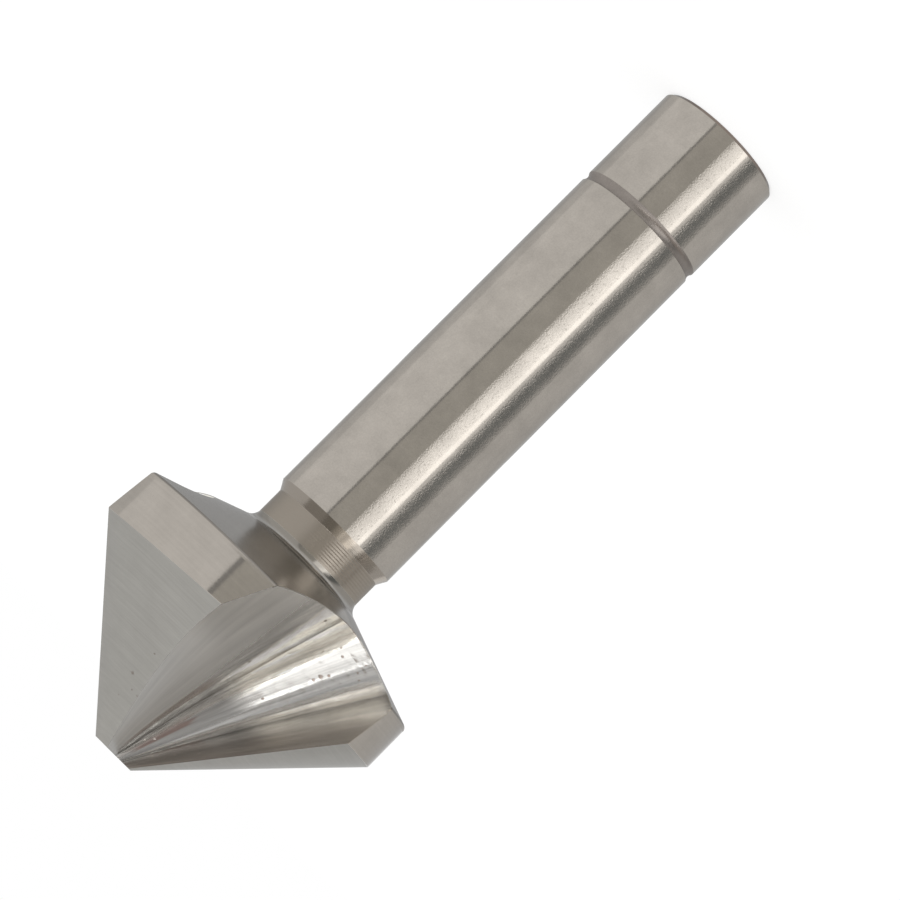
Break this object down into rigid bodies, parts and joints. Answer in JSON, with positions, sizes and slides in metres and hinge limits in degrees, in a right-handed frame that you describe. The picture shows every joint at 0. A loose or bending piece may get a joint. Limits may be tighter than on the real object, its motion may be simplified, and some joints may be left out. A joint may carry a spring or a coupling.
{
  "type": "countersink bit",
  "caption": "Conical countersink cutter with fluted 90 degree point, waisted neck and round shank, for sinking screw holes and deburring.",
  "frame": {"origin": "centre of the flat end face of the shank, on the tool's axis", "axes": "+Z along the axis from the shank's end to the cutting tip; +X from the axis through one of the cutting edges; +Y completes the right-handed frame, on the side of the flute ahead of that edge"},
  "size_m": [0.031, 0.0294, 0.071],
  "materials": {
    "ground_steel": "ground high-speed steel, bright on the shank and flutes, finely lined on the lands"
  },
  "bodies": {
    "root": {"countersink_bit": "ground_steel"}
  },
  "joints": []
}
